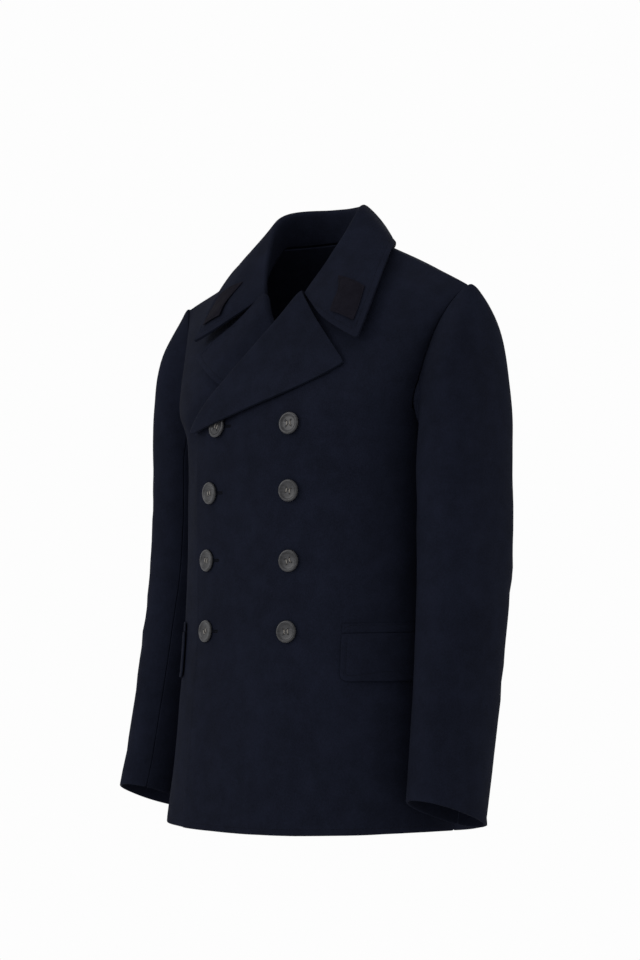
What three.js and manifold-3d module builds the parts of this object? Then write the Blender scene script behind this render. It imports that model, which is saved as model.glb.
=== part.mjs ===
// Pea coat, double-breasted, of melton wool. Each cut piece is its own wall of cloth.
// Millimetres, +Z up. The front faces -Y and the wearer's left side is +X.
// The origin is on the torso's axis, level with the neck ends of the shoulder seams.
import * as THREE from "three";
import { mergeVertices } from "three/addons/utils/BufferGeometryUtils.js";
import Module from "manifold-3d";

// Cloth and seams
const CLOTH = 3;
const LAPEL_CLOTH = 3.6;
const COLLAR_CLOTH = 4;
const PATCH_CLOTH = 1.2;
const SEAM_GAP = 0.3;
// Faceted walls part a little more than the seam gap where one lies on a rounded one.
const PATCH_GAP = 0.6;
const POCKET_GAP = 0.6;
const BUTTON_GAP = 0.4;

// Front edges and lapels, each point given by its x and z on the chest
const FRONT_EDGE_X = -101;
const BREAK = { x: -101, z: -237 };
const GORGE = { x: 38, z: -63 };
const NECK_SIDE = { x: 80, y: 3, z: 12 };
const NECK_BACK = { y: 52, z: 18 };
const NECK_BEND = 0.75;
const NOTCH = { x: 70, z: -95 };
// The right lapel lies a little wider and higher than the left one.
const LEFT_PEAK = { x: 134, z: -156 };
const RIGHT_PEAK = { x: 147, z: -133 };
const PEAK_RADIUS = 10;
const LAPEL_LENGTH = 220;
const LAPEL_BELLY = 6;
const ROLL_RADIUS = 5;
// The lapel's edge stands off the chest at the break and lies close from this share up.
const LAPEL_BREAK_LIFT = 8.5;
const LAPEL_EDGE_LIFT = 3.4;
const LAPEL_CLOSE_FROM = 0.75;

// Overlap of the two fronts
const TUCK_UNDER_FRONT = 3.5;
const TUCK_UNDER_LAPEL = 9.8;
const COVER_REACH = 48;
const COVER_FULL = 16;
const COVER_SLACK = 1.4;
const PRESSED_LIFT = 4.1;
const PRESSED_ROLL = 2.7;
const DEEP_FROM_Z = -242;
const SHALLOW_FROM_Z = -285;

// Buttons, as 44 line buttons: 28 mm
const BUTTON_RADIUS = 14;
const BUTTON_THICK = 4;
const BUTTON_RIM_IN = 10;
const BUTTON_HOLE_RADIUS = 1.2;
const BUTTON_HOLE_OFFSET = 2.3;
// Each row's height, and how far each of its buttons is from the middle of the chest. The
// wearer's right ones, which fasten, close in towards the lapel.
const BUTTON_ROWS = [
  { z: -227.5, left: 72, right: 50 },
  { z: -310, left: 72, right: 65 },
  { z: -396, left: 72, right: 71 },
  { z: -484, left: 72, right: 72 },
];

// Hip pockets
const POCKET_FRONT_X = 137;
const POCKET_WIDTH = 136;
const POCKET_TOP_Z = -486;
const FLAP_DEPTH = 59;
const FLAP_RADIUS = 10;
const FLAP_CLOTH = 3;
const WELT_HEIGHT = 12;
const WELT_CLOTH = 1.6;
const POCKET_STEPS = 10;

// Rows across the front, from hem to shoulder seam. A row runs from its middle (x = 0)
// to its end on the side seam or armhole. square is how squarely it turns on the way:
// 2 is an ellipse and 1 is a straight line. bow does the same for its height.
const FRONT_ROWS = [
  { midY: -172, midZ: -733, endX: 217, endY: 0, endZ: -727, square: 2.3, bow: 2 },
  { midY: -162, midZ: -620, endX: 203, endY: 0, endZ: -616, square: 2.3, bow: 2 },
  { midY: -152, midZ: -500, endX: 191, endY: 0, endZ: -498, square: 2.35, bow: 2 },
  { midY: -148, midZ: -390, endX: 186, endY: 0, endZ: -389, square: 2.4, bow: 2 },
  { midY: -148, midZ: -300, endX: 185, endY: 0, endZ: -299, square: 2.45, bow: 2 },
  { midY: -148, midZ: -240, endX: 185, endY: 0, endZ: -241, square: 2.5, bow: 2 },
  { midY: -140, midZ: -203, endX: 190, endY: -47, endZ: -209, square: 2.4, bow: 2 },
  { midY: -125, midZ: -170, endX: 199, endY: -46, endZ: -176, square: 2.3, bow: 2 },
  { midY: -110, midZ: -135, endX: 207, endY: -41, endZ: -145, square: 2.1, bow: 2 },
  { midY: -92, midZ: -98, endX: 216, endY: -35, endZ: -114, square: 1.9, bow: 1.8 },
  { midY: -73, midZ: -57, endX: 226, endY: -26, endZ: -88, square: 1.6, bow: 1.6 },
  { midY: -44, midZ: -8, endX: 236, endY: -15, endZ: -69, square: 1.3, bow: 1.3 },
  { midY: 7, midZ: 46, endX: 245, endY: -5, endZ: -58, square: 1, bow: 1 },
];
const BACK_ROWS = [
  { midY: 170, midZ: -733, endX: 217, endY: 0, endZ: -727, square: 2.3, bow: 2 },
  { midY: 164, midZ: -620, endX: 203, endY: 0, endZ: -616, square: 2.3, bow: 2 },
  { midY: 153, midZ: -500, endX: 191, endY: 0, endZ: -498, square: 2.35, bow: 2 },
  { midY: 145, midZ: -390, endX: 186, endY: 0, endZ: -389, square: 2.4, bow: 2 },
  { midY: 147, midZ: -300, endX: 185, endY: 0, endZ: -299, square: 2.45, bow: 2 },
  { midY: 150, midZ: -240, endX: 185, endY: 0, endZ: -241, square: 2.5, bow: 2 },
  { midY: 150, midZ: -200, endX: 189, endY: 36, endZ: -222, square: 2.5, bow: 2 },
  { midY: 146, midZ: -155, endX: 196, endY: 50, endZ: -186, square: 2.4, bow: 2 },
  { midY: 130, midZ: -104, endX: 206, endY: 52, endZ: -142, square: 2.3, bow: 2 },
  { midY: 104, midZ: -54, endX: 219, endY: 42, endZ: -102, square: 2.2, bow: 1.8 },
  { midY: 77, midZ: -10, endX: 233, endY: 24, endZ: -74, square: 2, bow: 1.6 },
  { midY: 46, midZ: 24, endX: 241, endY: 8, endZ: -62, square: 1.6, bow: 1.3 },
  { midY: 7, midZ: 46, endX: 245, endY: -5, endZ: -58, square: 1, bow: 1 },
];
const UNDERARM_ROW = 5;
const TOP_ROW = FRONT_ROWS.length - 1;

// Rings down the left sleeve after the armhole. across is half the ring's width from the
// body outwards, deep is half its depth from front to back, tilt turns its outer side up,
// and lean raises its front edge for each millimetre forward.
const SLEEVE_RINGS = [
  { x: 229, y: 0, z: -177, across: 90, deep: 62, tilt: 64, lean: 0, square: 2.2 },
  { x: 233, y: 1, z: -213, across: 74, deep: 68, tilt: 55, lean: 0, square: 2.3 },
  { x: 234, y: 2, z: -252, across: 58, deep: 71, tilt: 41, lean: 0, square: 2.4 },
  { x: 233, y: 2, z: -305, across: 44, deep: 71, tilt: 12, lean: 0.02, square: 2.4 },
  { x: 237, y: -2, z: -415, across: 46, deep: 69, tilt: 0, lean: 0.08, square: 2.3 },
  { x: 241, y: -17, z: -504, across: 43, deep: 64, tilt: 0, lean: 0.2, square: 2.2 },
  { x: 247, y: -38, z: -627, across: 42, deep: 60, tilt: 0, lean: 0.3, square: 2.1 },
  { x: 252, y: -56, z: -703, across: 40, deep: 57, tilt: 0, lean: 0.33, square: 2.1 },
];
const FRONT_SLEEVE_SEAM = 128;
const BACK_SLEEVE_SEAM = 236;
const SLEEVE_GAP = 0.5;
// How far the sleeve head stands out from the armhole seam, sideways, forward and up.
const HEAD = { out: 6, outAtTop: 2, ahead: 4, up: 5, drop: 4 };

// Half of the collar, from the centre back to the gorge: how far round the neck seam it is,
// with 1 at the shoulder seam and 2 at the gorge, its fold, the outer edge of its fall, and
// how far the fall rounds out between them.
const COLLAR_STATIONS = [
  { round: 0, fold: [0, 40, 58], edge: [0, 82, -2], bulge: 4 },
  { round: 0.25, fold: [27, 33, 58], edge: [36, 76, 2], bulge: 4 },
  { round: 0.5, fold: [49, 15, 57], edge: [70, 54, 7], bulge: 4 },
  { round: 0.8, fold: [64, -5, 52], edge: [99, 22, 7], bulge: 4 },
  { round: 1.1, fold: [70, -20, 40], edge: [122, -4, 2], bulge: 4 },
  { round: 1.35, fold: [67, -34, 18], edge: [136, -28, -14], bulge: 4 },
  { round: 1.57, fold: [60, -50, -8], edge: [143, -56, -50], bulge: 5 },
  { round: 1.79, fold: [50, -63, -34], edge: [148, -81, -88], bulge: 7 },
  { round: 1.97, fold: [36, -77, -61], edge: [150, -103, -126], bulge: 9 },
];
const FOLD_RADIUS = 5;
const STAND_LIFT = 2.5;
const COLLAR_POINT_RADIUS = 9;
// Lengths near the collar's points: of the outer edge from one station to the next, and of
// the fall from its middle to that edge.
const STATION_RUN = 44;
const HALF_FALL = 50;
// The right end of the collar lies a little higher and further back than the left one.
const RIGHT_POINT_SHIFT = [-7, 5, 13];

// Corners of a collar patch, by station and by place across the fall: 3 is past the fold and
// 5 is the outer edge.
const PATCH_CORNERS = {
  backInner: { place: 6.81, across: 3.61 },
  backOuter: { place: 6.51, across: 4.54 },
  frontInner: { place: 7.67, across: 4.08 },
  frontOuter: { place: 7.56, across: 4.67 },
};

const NAVY = new THREE.MeshStandardMaterial({ color: 0x17191f, roughness: 0.95, metalness: 0 });
const NAVY_DARK = new THREE.MeshStandardMaterial({ color: 0x14141b, roughness: 0.9, metalness: 0 });
const HORN = new THREE.MeshStandardMaterial({ color: 0x2b2a2c, roughness: 0.45, metalness: 0 });

const vec = (x, y, z) => new THREE.Vector3(x, y, z);
const mix = (a, b, t) => a + (b - a) * t;
const smooth = (from, to, value) => THREE.MathUtils.smoothstep(value, from, to);

// Value on a smooth curve through a list of numbers, at a fractional place in the list.
function spline(values, place) {
  const last = values.length - 1;
  const i = Math.min(Math.floor(place), last - 1);
  const t = place - i;
  const before = values[Math.max(i - 1, 0)];
  const from = values[i];
  const to = values[i + 1];
  const after = values[Math.min(i + 2, last)];
  const leave = (to - before) / 2;
  const arrive = (after - from) / 2;
  const rise = to - from;
  return from + t * (leave + t * (3 * rise - 2 * leave - arrive + t * (leave + arrive - 2 * rise)));
}

// Below the underarm the front and the back end on the same side seam.
function rowAt(rows, place) {
  const row = {};
  for (const key of Object.keys(rows[0])) {
    const table = place < UNDERARM_ROW && key.startsWith("end") ? FRONT_ROWS : rows;
    row[key] = spline(table.map((each) => each[key]), place);
  }
  if (place <= UNDERARM_ROW) row.endY = 0;
  return row;
}

// Point on the front or back: place is the row, turn goes from 0 at x = 0 to +-1 at the side.
function formPoint(rows, place, turn) {
  const row = rowAt(rows, place);
  const angle = (Math.min(Math.abs(turn), 1) * Math.PI) / 2;
  const share = Math.sin(angle) ** (2 / row.square);
  const depth = Math.max(Math.cos(angle), 0) ** (2 / row.square);
  const height = 1 - share ** row.bow;
  return vec(
    Math.sign(turn) * row.endX * share,
    mix(row.endY, row.midY, depth),
    mix(row.endZ, row.midZ, height),
  );
}

function halve(low, high, isLow) {
  for (let i = 0; i < 40; i++) {
    const middle = (low + high) / 2;
    if (isLow(middle)) low = middle;
    else high = middle;
  }
  return (low + high) / 2;
}

// Turn at which a row of the front meets a border that is given as x for each z.
const turnAtBorder = (place, border) =>
  halve(-1, 1, (turn) => {
    const p = formPoint(FRONT_ROWS, place, turn);
    return p.x < border(p.z);
  });

// Place and turn of the front's point with a given x and z.
function placeAt(x, z) {
  const place = halve(0, TOP_ROW, (trial) => {
    const turn = turnAtBorder(trial, () => x);
    return formPoint(FRONT_ROWS, trial, turn).z < z;
  });
  return { place, turn: turnAtBorder(place, () => x) };
}

// Left front's inner border: the straight front edge, the roll line, then the neck seam.
function leftBorder(z) {
  if (z <= BREAK.z) return FRONT_EDGE_X;
  if (z <= GORGE.z) return mix(BREAK.x, GORGE.x, (z - BREAK.z) / (GORGE.z - BREAK.z));
  const share = Math.min((z - GORGE.z) / (NECK_SIDE.z - GORGE.z), 1);
  return mix(GORGE.x, NECK_SIDE.x, share ** NECK_BEND);
}

// 1 where the left front lies over a point, 0 well clear of its border.
function covered(x, z) {
  const edge = leftBorder(z);
  return smooth(edge - COVER_REACH, edge - COVER_FULL, x);
}

// How far the right front and its lapel lie in where the left front covers them.
function tuckDepth(x, z) {
  const deep = smooth(SHALLOW_FROM_Z, DEEP_FROM_Z, z);
  return covered(x, z) * mix(TUCK_UNDER_FRONT, TUCK_UNDER_LAPEL, deep);
}

// Outward normals of a grid of points, from its neighbours.
function gridNormals(grid, flip) {
  const rows = grid.length;
  const columns = grid[0].length;
  return grid.map((row, i) =>
    row.map((point, j) => {
      const across = row[Math.min(j + 1, columns - 1)].clone().sub(row[Math.max(j - 1, 0)]);
      const along = grid[Math.min(i + 1, rows - 1)][j].clone().sub(grid[Math.max(i - 1, 0)][j]);
      return across.cross(along).normalize().multiplyScalar(flip ? -1 : 1);
    }),
  );
}

const moved = (grid, normals, distance) =>
  grid.map((row, i) => row.map((p, j) => p.clone().addScaledVector(normals[i][j], distance)));

// Pulls chosen borders of a grid in by a share of the seam gap.
function trim(grid, borders, amount = SEAM_GAP / 2 + 0.05) {
  const rows = grid.length - 1;
  const columns = grid[0].length - 1;
  const pull = (p, towards) =>
    p.addScaledVector(towards.clone().sub(p).normalize(), amount);
  if (borders.includes("first")) for (const row of grid) pull(row[0], row[1]);
  if (borders.includes("last")) for (const row of grid) pull(row[columns], row[columns - 1]);
  if (borders.includes("bottom")) grid[0].forEach((p, j) => pull(p, grid[1][j]));
  if (borders.includes("top")) grid[rows].forEach((p, j) => pull(p, grid[rows - 1][j]));
  return grid;
}

// Closed wall between two grids of points of the same size.
function wall(outer, inner) {
  const rows = outer.length;
  const columns = outer[0].length;
  const size = rows * columns;
  const positions = [...outer.flat(), ...inner.flat()].flatMap((p) => [p.x, p.y, p.z]);
  const index = [];
  const quad = (a, b, c, d) => index.push(a, b, c, a, c, d);
  const at = (i, j) => i * columns + j;
  for (let i = 0; i < rows - 1; i++) {
    for (let j = 0; j < columns - 1; j++) {
      quad(at(i, j), at(i, j + 1), at(i + 1, j + 1), at(i + 1, j));
      quad(size + at(i, j), size + at(i + 1, j), size + at(i + 1, j + 1), size + at(i, j + 1));
    }
    quad(at(i, 0), at(i + 1, 0), size + at(i + 1, 0), size + at(i, 0));
    const end = columns - 1;
    quad(at(i, end), size + at(i, end), size + at(i + 1, end), at(i + 1, end));
  }
  for (let j = 0; j < columns - 1; j++) {
    const end = rows - 1;
    quad(at(0, j), size + at(0, j), size + at(0, j + 1), at(0, j + 1));
    quad(at(end, j), at(end, j + 1), size + at(end, j + 1), size + at(end, j));
  }
  const geometry = new THREE.BufferGeometry();
  geometry.setAttribute("position", new THREE.Float32BufferAttribute(positions, 3));
  geometry.setIndex(index);
  return outward(geometry);
}

// Turns a closed geometry's faces outwards if its volume comes out negative.
function outward(geometry) {
  const p = geometry.getAttribute("position");
  const index = geometry.index.array;
  const corner = [vec(0, 0, 0), vec(0, 0, 0), vec(0, 0, 0)];
  let volume = 0;
  for (let i = 0; i < index.length; i += 3) {
    corner.forEach((c, k) => c.fromBufferAttribute(p, index[i + k]));
    volume += corner[0].dot(corner[1].clone().cross(corner[2]));
  }
  if (volume < 0) {
    for (let i = 0; i < index.length; i += 3) {
      [index[i + 1], index[i + 2]] = [index[i + 2], index[i + 1]];
    }
  }
  geometry.computeVertexNormals();
  return geometry;
}

const mirrored = (grid) => grid.map((row) => row.map((p) => vec(-p.x, p.y, p.z)));

const range = (count) => Array.from({ length: count + 1 }, (_, i) => i / count);

// Both sides of a shoulder seam share this normal, so that their walls meet without crossing.
function shoulderNormal(side) {
  const shoulder = FRONT_ROWS[TOP_ROW];
  const rise = NECK_SIDE.z - shoulder.endZ;
  const run = shoulder.endX - NECK_SIDE.x;
  return vec(side * rise, 0, run).normalize();
}

function squareToShoulder(normals, side) {
  for (const normal of normals[normals.length - 1]) normal.copy(shoulderNormal(side));
}

// Turns the normals along the side seam straight out sideways, below the underarm.
function squareToSide(grid, normals, columns) {
  grid.forEach((row, i) => {
    for (const column of columns) {
      if (row[column].z > FRONT_ROWS[UNDERARM_ROW].endZ + 1) continue;
      normals[i][column].y = 0;
      normals[i][column].normalize();
    }
  });
}

// Rows of a front panel: closer together where the border bends.
const FRONT_PLACES = [
  0, 0.7, 1.4, 2.1, 2.8, 3.5, 4.2, 5, 5.33, 5.67, 6, 6.5, 7, 7.5, 8, 8.5, 9, 9.5, 10, 10.5, 11,
  11.5, 12,
];
const FRONT_COLUMNS = 18;

function frontGrid() {
  return FRONT_PLACES.map((place) => {
    const border = place === TOP_ROW ? () => NECK_SIDE.x : leftBorder;
    const from = turnAtBorder(place, border);
    return range(FRONT_COLUMNS).map((share) => formPoint(FRONT_ROWS, place, mix(from, 1, share)));
  });
}

function leftFront() {
  const grid = trim(frontGrid(), ["first", "last", "top"]);
  const normals = gridNormals(grid);
  squareToShoulder(normals, 1);
  squareToSide(grid, normals, [FRONT_COLUMNS]);
  return wall(grid, moved(grid, normals, -CLOTH));
}

function rightFront() {
  const grid = mirrored(trim(frontGrid(), ["first", "last", "top"]));
  const normals = gridNormals(grid, true);
  squareToShoulder(normals, -1);
  squareToSide(grid, normals, [FRONT_COLUMNS]);
  const outer = grid.map((row, i) =>
    row.map((p, j) => p.clone().addScaledVector(normals[i][j], -tuckDepth(p.x, p.z))),
  );
  return wall(outer, moved(outer, normals, -CLOTH));
}

// The back is cut in one. Each of its columns ends on the neck seam or a shoulder seam.
const BACK_STEPS = 20;
const BACK_COLUMNS = 8;
const NECK_COLUMNS = 4;

function neckSeamBack(share) {
  const angle = (share * Math.PI) / 2;
  return vec(
    NECK_SIDE.x * Math.sin(angle),
    mix(NECK_SIDE.y, NECK_BACK.y, Math.cos(angle)),
    mix(NECK_SIDE.z, NECK_BACK.z, Math.cos(angle)),
  );
}

// Turn and place of the back's top border for a share of the way from centre to shoulder end.
function backColumn(step) {
  const sideTurn = halve(0, 1, (turn) => formPoint(BACK_ROWS, TOP_ROW, turn).x < NECK_SIDE.x);
  if (step >= NECK_COLUMNS) {
    const share = (step - NECK_COLUMNS) / BACK_COLUMNS;
    return { turn: mix(sideTurn, 1, share), place: TOP_ROW };
  }
  const share = step / NECK_COLUMNS;
  const depth = neckSeamBack(share).y;
  const turn = sideTurn * share;
  return {
    turn,
    place: halve(UNDERARM_ROW, TOP_ROW, (trial) => formPoint(BACK_ROWS, trial, turn).y > depth),
  };
}

function backGrid() {
  const half = NECK_COLUMNS + BACK_COLUMNS;
  const columns = Array.from({ length: 2 * half + 1 }, (_, i) => {
    const column = backColumn(Math.abs(i - half));
    return { turn: -Math.sign(i - half) * column.turn, place: column.place };
  });
  return range(BACK_STEPS).map((share) =>
    columns.map(({ turn, place }) => formPoint(BACK_ROWS, place * share, turn)),
  );
}

function back() {
  const grid = trim(backGrid(), ["first", "last", "top"]);
  const normals = gridNormals(grid);
  squareToSide(grid, normals, [0, grid[0].length - 1]);
  normals[BACK_STEPS].forEach((normal, j) => {
    const x = grid[BACK_STEPS][j].x;
    if (Math.abs(x) > NECK_SIDE.x - 1) normal.copy(shoulderNormal(Math.sign(x)));
  });
  return wall(grid, moved(grid, normals, -CLOTH));
}

// Armhole and sleeve: angle 0 is the shoulder point, 90 the front, 180 the underarm.
function armholePoint(angle) {
  const front = angle <= 180;
  const share = front ? angle / 180 : (360 - angle) / 180;
  const row = rowAt(front ? FRONT_ROWS : BACK_ROWS, mix(TOP_ROW, UNDERARM_ROW, share));
  return vec(row.endX, row.endY, row.endZ);
}

function ringPoint(ring, angle) {
  const radians = THREE.MathUtils.degToRad(angle);
  const tilt = THREE.MathUtils.degToRad(ring.tilt);
  const power = 2 / ring.square;
  const out = Math.sign(Math.cos(radians)) * Math.abs(Math.cos(radians)) ** power * ring.across;
  const ahead = Math.sign(Math.sin(radians)) * Math.abs(Math.sin(radians)) ** power * ring.deep;
  return vec(
    ring.x + out * Math.cos(tilt),
    ring.y - ahead,
    ring.z + out * Math.sin(tilt) + ahead * ring.lean,
  );
}

// The sleeve head stands a little proud of the armhole seam all round.
function sleeveHead(angle) {
  const radians = THREE.MathUtils.degToRad(angle);
  const c = Math.cos(radians);
  const s = Math.sin(radians);
  const proud = vec(HEAD.out + HEAD.outAtTop * c, -HEAD.ahead * s, HEAD.up * c - HEAD.drop);
  return armholePoint(angle).add(proud);
}

// A line down the sleeve. It starts off the armhole, at the underarm a little below it too.
function sleeveLine(angle) {
  const underarm = angle > 150 && angle < 210;
  const start = armholePoint(angle).add(vec(SLEEVE_GAP, 0, underarm ? -0.2 : 0));
  return [start, sleeveHead(angle), ...SLEEVE_RINGS.map((ring) => ringPoint(ring, angle))];
}

const TOP_SLEEVE_STEPS = 18;
const UNDER_SLEEVE_STEPS = 8;
const SLEEVE_PLACES = [0, 0.5, 1, 1.5, 2, 2.5, 3, 3.5, 4, 4.5, 5, 5.5, 6, 6.7, 7.4, 8.2, 9];

// The grid holds one more column past each seam, for the normals there.
function sleeveGrid(fromAngle, toAngle, steps) {
  const shares = Array.from({ length: steps + 3 }, (_, i) => (i - 1) / steps);
  const lines = shares.map((share) => sleeveLine((mix(fromAngle, toAngle, share) + 360) % 360));
  return SLEEVE_PLACES.map((place) =>
    lines.map((line) =>
      vec(
        spline(line.map((p) => p.x), place),
        spline(line.map((p) => p.y), place),
        spline(line.map((p) => p.z), place),
      ),
    ),
  );
}

function sleeve(fromAngle, toAngle, steps, side) {
  const wide = sleeveGrid(fromAngle, toAngle, steps);
  const placed = side < 0 ? mirrored(wide) : wide;
  const normals = gridNormals(placed, side < 0).map((row) => row.slice(1, -1));
  const grid = trim(placed.map((row) => row.slice(1, -1)), ["first", "last"]);
  return wall(grid, moved(grid, normals, -CLOTH));
}

// Height of a lapel's middle surface over the front: share is the way from the roll to the
// outer edge, and up is the way from the break to the gorge.
function lapelLift(share, up) {
  const atRoll = 2 * ROLL_RADIUS - CLOTH / 2;
  const atEdge = mix(LAPEL_BREAK_LIFT, LAPEL_EDGE_LIFT, smooth(0, LAPEL_CLOSE_FROM, up));
  return mix(atRoll, atEdge, share ** 0.8);
}

// Outer edge of the lapel in x and z, from the break to the peak, slightly rounded.
function lapelEdge(up, side) {
  const belly = LAPEL_BELLY * Math.sin(Math.PI * up);
  const peak = side < 0 ? RIGHT_PEAK : LEFT_PEAK;
  return {
    x: mix(BREAK.x + 9, peak.x, up) + belly * 0.3,
    z: mix(BREAK.z + 1, peak.z, up) - belly,
  };
}

// One row of the lapel: from the front's edge round the roll, then out to the edge.
const ROLL_STEPS = 6;
const LAPEL_STEPS = 9;

function lapelRow(up, reach, side) {
  const start = { x: mix(BREAK.x, GORGE.x, up), z: mix(BREAK.z, GORGE.z, up) };
  const edge = lapelEdge(up, side);
  const surface = (share) => {
    const x = mix(start.x, edge.x, share);
    let z = mix(start.z, edge.z, share);
    if (up > 0.9) z = mix(z, gorgeLine(share, side), (up - 0.9) / 0.1);
    return onChest(x, z);
  };
  const first = surface(0);
  const next = surface(0.08);
  const along = next.point.clone().sub(first.point).normalize();
  const width = first.point.distanceTo(surface(1).point);
  const cover = (place) => (side < 0 ? covered(-place.x, place.z) : 0);
  const radius = mix(ROLL_RADIUS, PRESSED_ROLL, cover(first.point));
  const row = [];
  for (let i = 0; i <= ROLL_STEPS; i++) {
    const angle = (i / ROLL_STEPS) * Math.PI;
    row.push(
      first.point
        .clone()
        .addScaledVector(along, -Math.sin(angle) * radius)
        .addScaledVector(first.normal, radius * (1 - Math.cos(angle)) - CLOTH / 2),
    );
  }
  for (let i = 1; i <= LAPEL_STEPS; i++) {
    const share = (i / LAPEL_STEPS) * Math.max(1 - reach / width, 0.2);
    const place = surface(share);
    const hidden = cover(place.point);
    const slack = COVER_SLACK * 4 * hidden * (1 - hidden);
    const lift = mix(lapelLift(share, up), PRESSED_LIFT, hidden) + slack;
    row.push(place.point.addScaledVector(place.normal, lift));
  }
  return row;
}

// Height of the gorge seam and the peak's top edge, from the gorge to the peak.
function gorgeLine(share, side) {
  const peak = side < 0 ? RIGHT_PEAK : LEFT_PEAK;
  const notchShare = (NOTCH.x - GORGE.x) / (peak.x - GORGE.x);
  if (share < notchShare) return mix(GORGE.z, NOTCH.z, share / notchShare);
  return mix(NOTCH.z, peak.z, (share - notchShare) / (1 - notchShare));
}

function onChest(x, z) {
  const { place, turn } = placeAt(x, z);
  const step = 0.02;
  const point = formPoint(FRONT_ROWS, place, turn);
  const across = formPoint(FRONT_ROWS, place, turn + step).sub(point);
  const along = formPoint(FRONT_ROWS, place + step, turn).sub(point);
  return { point, normal: across.cross(along).normalize(), turn, place };
}

// How far a rounded corner draws in, for how far past its start a row lies.
const cornerInset = (radius, past) => radius - Math.sqrt(Math.max(radius ** 2 - past ** 2, 0));

const CORNER_PARTS = [1, 0.6, 0.25, 0];
const LAPEL_UPS = [0.02, 0.1, 0.18, 0.27, 0.36, 0.45, 0.54, 0.63, 0.72, 0.8, 0.87, 0.93];

function lapelGrid(side) {
  const rows = LAPEL_UPS.map((up) => lapelRow(up, 0, side));
  for (const part of CORNER_PARTS) {
    const fromEnd = part * PEAK_RADIUS;
    const reach = cornerInset(PEAK_RADIUS, PEAK_RADIUS - fromEnd);
    rows.push(lapelRow(1 - (fromEnd + 0.5) / LAPEL_LENGTH, reach, side));
  }
  return rows;
}

function lapel(side) {
  let grid = trim(trim(lapelGrid(side), ["top"], 4 * SEAM_GAP), ["first"], 3.5 * SEAM_GAP);
  if (side < 0) grid = mirrored(grid);
  const normals = gridNormals(grid, side < 0);
  if (side < 0) {
    grid = grid.map((row) =>
      row.map((p) => {
        const place = onChest(-p.x, p.z);
        return p.clone().addScaledVector(mirrorX(place.normal), -tuckDepth(p.x, p.z));
      }),
    );
  }
  return wall(moved(grid, normals, LAPEL_CLOTH / 2), moved(grid, normals, -LAPEL_CLOTH / 2));
}

const mirrorX = (v) => vec(-v.x, v.y, v.z);

const COLLAR_END = COLLAR_STATIONS.length - 1;

// Point on the neck seam, lifted off the panels' edges by the stand's own seam.
function neckSeam(round) {
  if (round <= 1) return neckSeamBack(round).add(vec(0, 0, STAND_LIFT));
  const z = mix(NECK_SIDE.z, GORGE.z, round - 1);
  const place = halve(UNDERARM_ROW, TOP_ROW, (trial) => {
    return formPoint(FRONT_ROWS, trial, turnAtBorder(trial, leftBorder)).z < z;
  });
  const point = formPoint(FRONT_ROWS, place, turnAtBorder(place, leftBorder));
  return point.add(vec(-0.7 * STAND_LIFT, 0, 0.7 * STAND_LIFT));
}

// The collar's section at a station: up the stand, over the fold and down the fall.
function collarSection(place, side) {
  const at = (key) =>
    vec(...[0, 1, 2].map((axis) => spline(COLLAR_STATIONS.map((s) => s[key][axis]), place)));
  const seam = neckSeam(spline(COLLAR_STATIONS.map((s) => s.round), place));
  const fold = at("fold");
  const edge = at("edge");
  if (side < 0) edge.addScaledVector(vec(...RIGHT_POINT_SHIFT), smooth(4, COLLAR_END, place));
  const down = seam.clone().sub(fold).normalize();
  const out = edge.clone().sub(fold).normalize();
  const inward = down.clone().add(out).normalize();
  const across = out.clone().addScaledVector(inward, -out.dot(inward)).normalize();
  const inside = fold.clone().addScaledVector(inward, FOLD_RADIUS);
  const nearIn = inside.clone().addScaledVector(across, -FOLD_RADIUS);
  const nearOut = inside.clone().addScaledVector(across, FOLD_RADIUS);
  const middle = nearOut.clone().lerp(edge, 0.5);
  const lift = across.clone().addScaledVector(out, -across.dot(out)).normalize();
  middle.addScaledVector(lift, spline(COLLAR_STATIONS.map((s) => s.bulge), place));
  return [seam, nearIn, fold, nearOut, middle, edge];
}

// Point of the collar: across runs 0 at the seam, 1 before the fold, 2 on it, 3 after it,
// 5 at the outer edge; place runs from the centre back to the gorge.
function collarPoint(place, across) {
  const section = collarSection(Math.abs(place), place < 0 ? -1 : 1);
  const p = vec(
    ...["x", "y", "z"].map((axis) => spline(section.map((each) => each[axis]), across)),
  );
  return place < 0 ? mirrorX(p) : p;
}

const COLLAR_ACROSS = [0, 0.5, 1, 1.4, 1.7, 2, 2.3, 2.6, 3, 3.4, 3.8, 4.2, 4.6, 5];
const COLLAR_SIDE_STEPS = 16;

// Rows of half the collar, and how far each draws back from the outer edge to round the point.
function collarRows() {
  const rows = range(COLLAR_SIDE_STEPS).map((share) => ({ place: share * COLLAR_END, reach: 0 }));
  rows.pop();
  for (const part of CORNER_PARTS) {
    const fromEnd = part * COLLAR_POINT_RADIUS;
    rows.push({
      place: COLLAR_END - fromEnd / STATION_RUN,
      reach: cornerInset(COLLAR_POINT_RADIUS, COLLAR_POINT_RADIUS - fromEnd),
    });
  }
  return rows;
}

function collarGrid() {
  const left = collarRows();
  const right = left
    .slice(1)
    .reverse()
    .map(({ place, reach }) => ({ place: -place, reach }));
  return [...right, ...left].map(({ place, reach }) =>
    COLLAR_ACROSS.map((across) =>
      collarPoint(place, across <= 4 ? across : mix(4, 5 - reach / HALF_FALL, across - 4)),
    ),
  );
}

function collar() {
  const grid = trim(collarGrid(), ["top", "bottom"], 5 * SEAM_GAP);
  const normals = gridNormals(grid);
  return wall(moved(grid, normals, COLLAR_CLOTH / 2), moved(grid, normals, -COLLAR_CLOTH / 2));
}

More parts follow.
